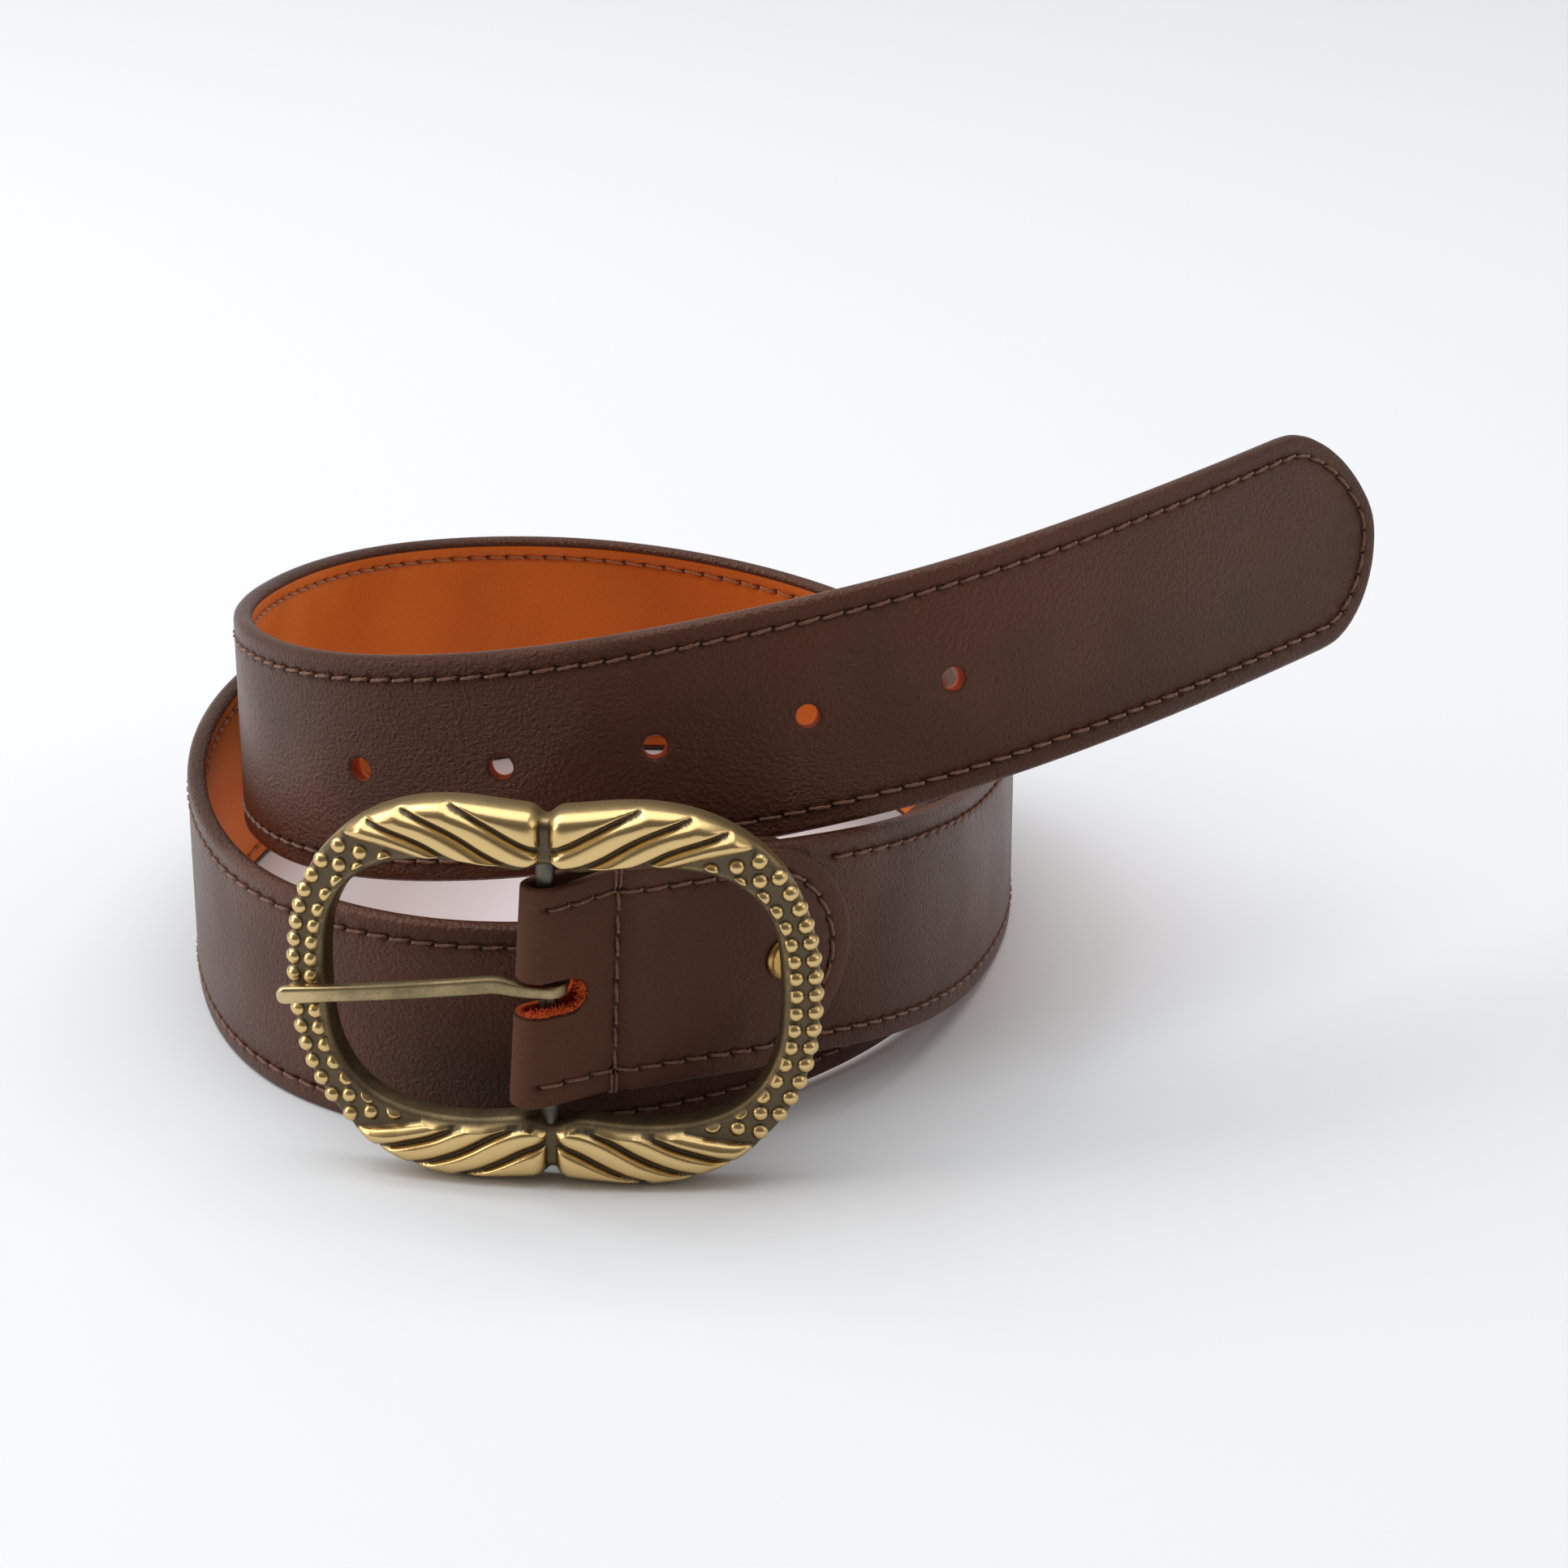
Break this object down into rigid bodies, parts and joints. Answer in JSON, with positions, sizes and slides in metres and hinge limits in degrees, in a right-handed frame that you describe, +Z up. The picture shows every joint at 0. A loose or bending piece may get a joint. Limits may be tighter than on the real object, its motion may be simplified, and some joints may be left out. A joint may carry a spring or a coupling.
{
  "type": "leather belt",
  "caption": "Lined leather dress belt stored in a standing coil, with a folded stitched tab, a rounded centre-bar buckle with swelling lobes, a swinging prong and a punched free tail.",
  "frame": {"origin": "middle of the coiled belt's footprint, on the surface that it stands on", "axes": "+Z up, across the belt's width; the buckle faces -Y; the free tail points towards +X"},
  "size_m": [0.2101, 0.1915, 0.0936],
  "materials": {
    "leather_face": "dark brown, glossy crinkled top grain",
    "leather_lining": "smooth orange-tan lining",
    "thread": "twisted brown thread",
    "lining_thread": "twisted tan thread",
    "tab_leather": "matt dark brown, napped at the fold",
    "screw_brass": "satin",
    "antique_brass": "antique, dark in the recesses and bright on the high spots",
    "bar_steel": "dark antique plating",
    "prong_brass": "antique, brushed"
  },
  "bodies": {
    "strap": {"strap_face": "leather_face", "strap_lining": "leather_lining", "face_thread": "thread", "lining_thread": "lining_thread", "buckle_tab": "tab_leather", "tab_thread": "thread", "cross_seam_thread": "thread", "screw_post": "screw_brass", "screw": "screw_brass"},
    "buckle": {"buckle_frame": "antique_brass", "centre_bar": "bar_steel"},
    "prong": {"prong": "prong_brass"}
  },
  "joints": [
    {"name": "buckle_swing", "type": "hinge", "parent": "strap", "child": "buckle", "pos_m": [-0.03646, -0.08977, 0.0326], "axis": [0, 0, 1], "range_deg": [-13, 15]},
    {"name": "prong_swing", "type": "hinge", "parent": "buckle", "child": "prong", "pos_m": [-0.03646, -0.08977, 0.0326], "axis": [0, 0, 1], "range_deg": [0, 98]}
  ]
}
